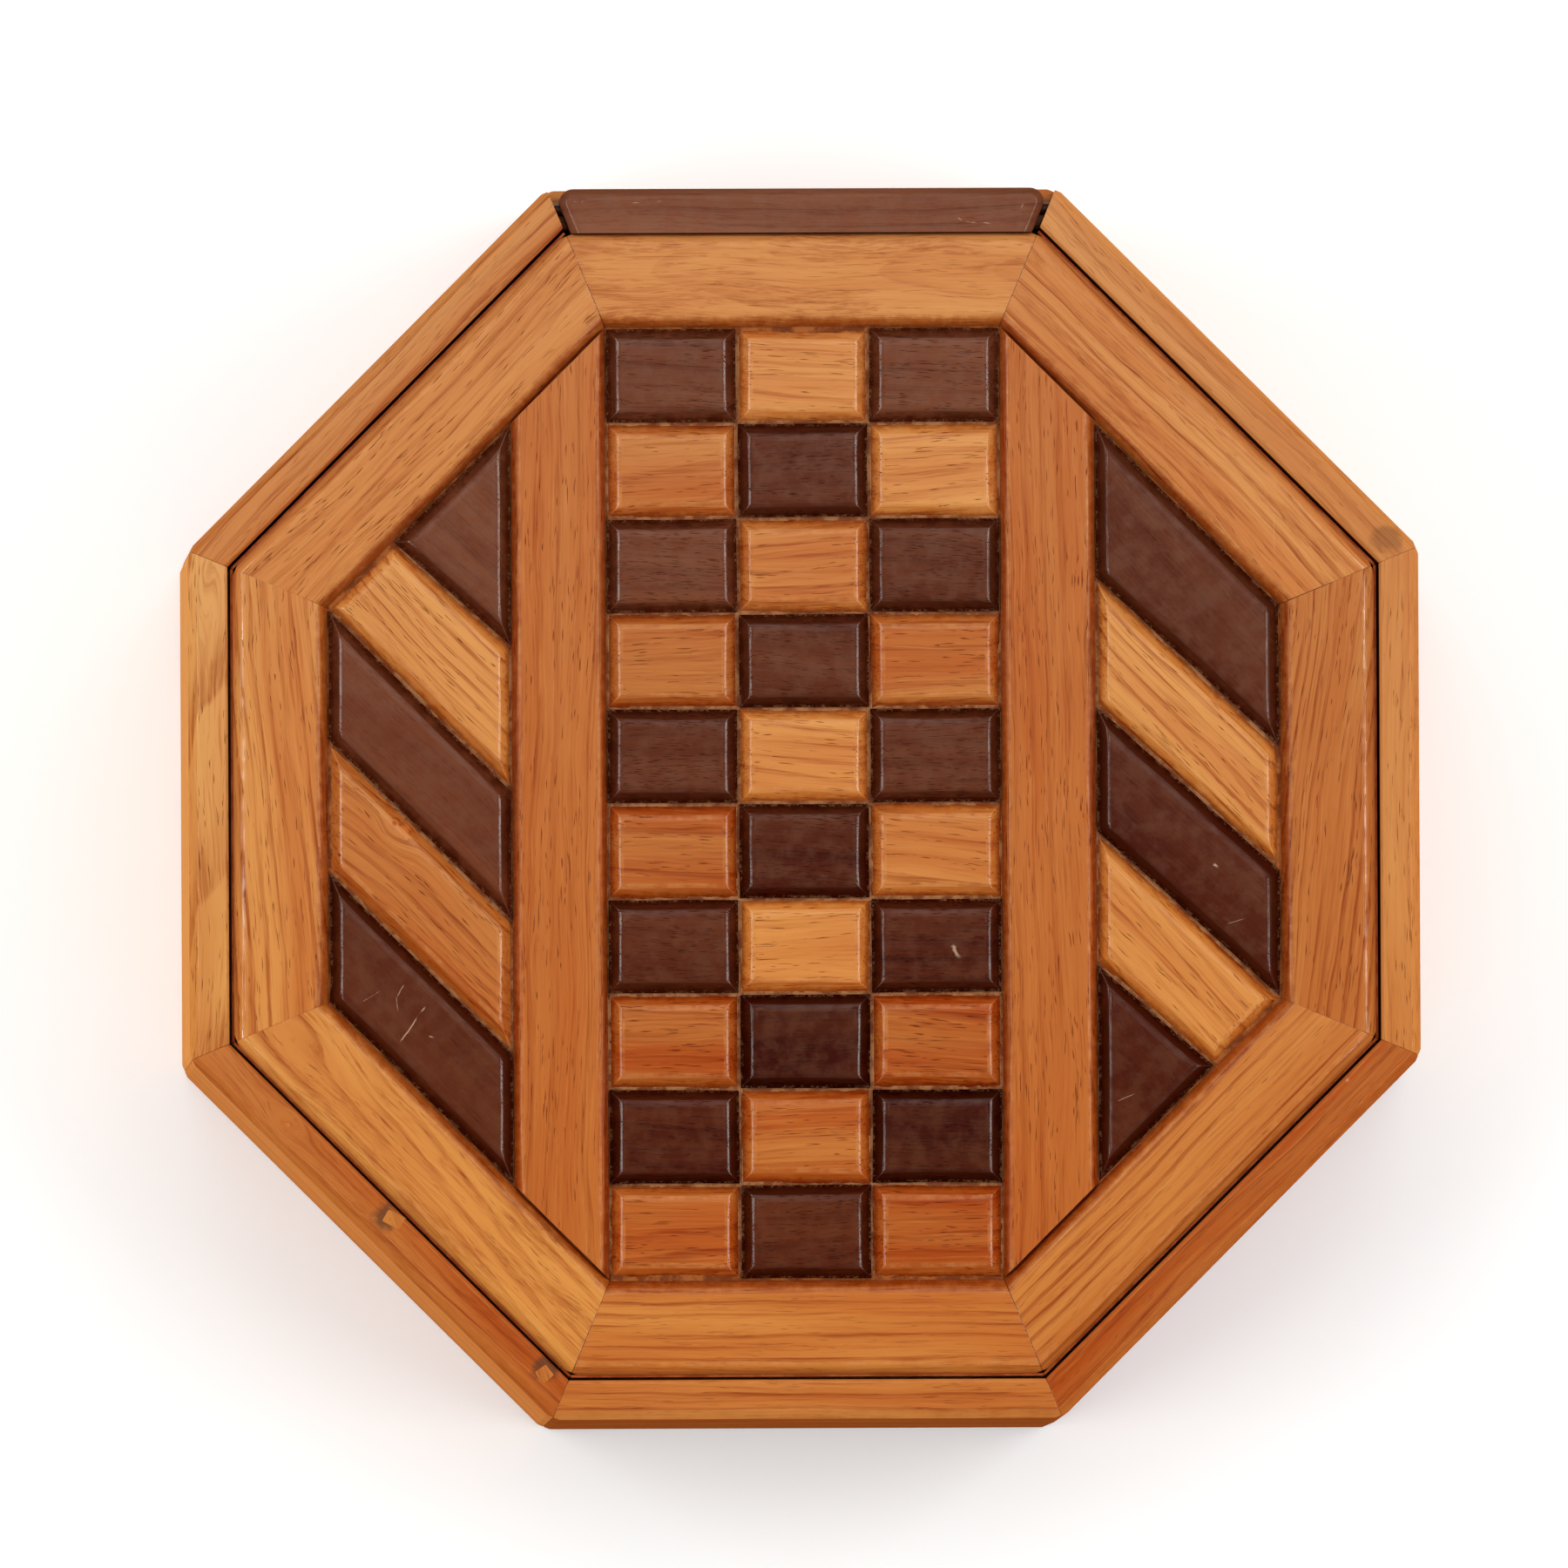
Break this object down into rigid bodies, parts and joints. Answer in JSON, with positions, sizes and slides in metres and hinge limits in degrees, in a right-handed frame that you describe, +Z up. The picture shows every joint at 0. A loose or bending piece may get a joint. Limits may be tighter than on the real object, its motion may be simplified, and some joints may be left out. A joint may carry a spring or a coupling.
{
  "type": "wooden puzzle box",
  "caption": "Octagonal wooden box with a hinged lid of raised dark and light tiles, slanting strips and a mitred frame, hidden hinge pins and a hidden sliding tilt bolt.",
  "frame": {"origin": "centre of the underside, on the surface that the box stands on", "axes": "+Z up, +Y from the middle towards the hinge side, +X to the right as seen from the front"},
  "size_m": [0.1992, 0.1992, 0.065],
  "materials": {
    "light_wood": "oiled satin",
    "dark_wood": "oiled satin",
    "wall_wood": "oiled satin",
    "inner_wood": "bare planed",
    "steel_pin": "drawn"
  },
  "bodies": {
    "case": {"base_panel": "inner_wood", "wall_back": "wall_wood", "wall_back_right": "wall_wood", "wall_right": "wall_wood", "wall_front_right": "wall_wood", "wall_front": "wall_wood", "wall_front_left": "wall_wood", "wall_left": "wall_wood", "wall_back_left": "wall_wood", "ledge_right": "inner_wood", "ledge_front_right": "inner_wood", "ledge_front": "inner_wood", "ledge_front_left": "inner_wood", "ledge_left": "inner_wood", "bolt_guides": "inner_wood", "hinge_pins": "steel_pin"},
    "lid": {"hinge_rail": "dark_wood", "lid_board": "inner_wood", "bolt_keeper": "inner_wood", "frame_back": "light_wood", "frame_back_right": "light_wood", "frame_right": "light_wood", "frame_front_right": "light_wood", "frame_front": "light_wood", "frame_front_left": "light_wood", "frame_left": "light_wood", "frame_back_left": "light_wood", "stile_left": "light_wood", "stile_right": "light_wood", "strip_left_1": "dark_wood", "strip_left_2": "light_wood", "strip_left_3": "dark_wood", "strip_left_4": "light_wood", "strip_left_5": "dark_wood", "strip_right_1": "dark_wood", "strip_right_2": "light_wood", "strip_right_3": "dark_wood", "strip_right_4": "light_wood", "strip_right_5": "dark_wood", "tile_row_01_dark": "dark_wood", "tile_row_01_light": "light_wood", "tile_row_02_dark": "dark_wood", "tile_row_02_light": "light_wood", "tile_row_03_dark": "dark_wood", "tile_row_03_light": "light_wood", "tile_row_04_dark": "dark_wood", "tile_row_04_light": "light_wood", "tile_row_05_dark": "dark_wood", "tile_row_05_light": "light_wood", "tile_row_06_dark": "dark_wood", "tile_row_06_light": "light_wood", "tile_row_07_dark": "dark_wood", "tile_row_07_light": "light_wood", "tile_row_08_dark": "dark_wood", "tile_row_08_light": "light_wood", "tile_row_09_dark": "dark_wood", "tile_row_09_light": "light_wood", "tile_row_10_dark": "dark_wood", "tile_row_10_light": "light_wood"},
    "bolt": {"tilt_bolt": "dark_wood"}
  },
  "joints": [
    {"name": "lid_hinge", "type": "hinge", "parent": "case", "child": "lid", "pos_m": [0, 0.0962, 0.0612], "axis": [-1, 0, 0], "range_deg": [0, 98]},
    {"name": "bolt_slide", "type": "slide", "parent": "case", "child": "bolt", "axis": [1, 0, 0], "range_m": [0, 0.012]}
  ]
}
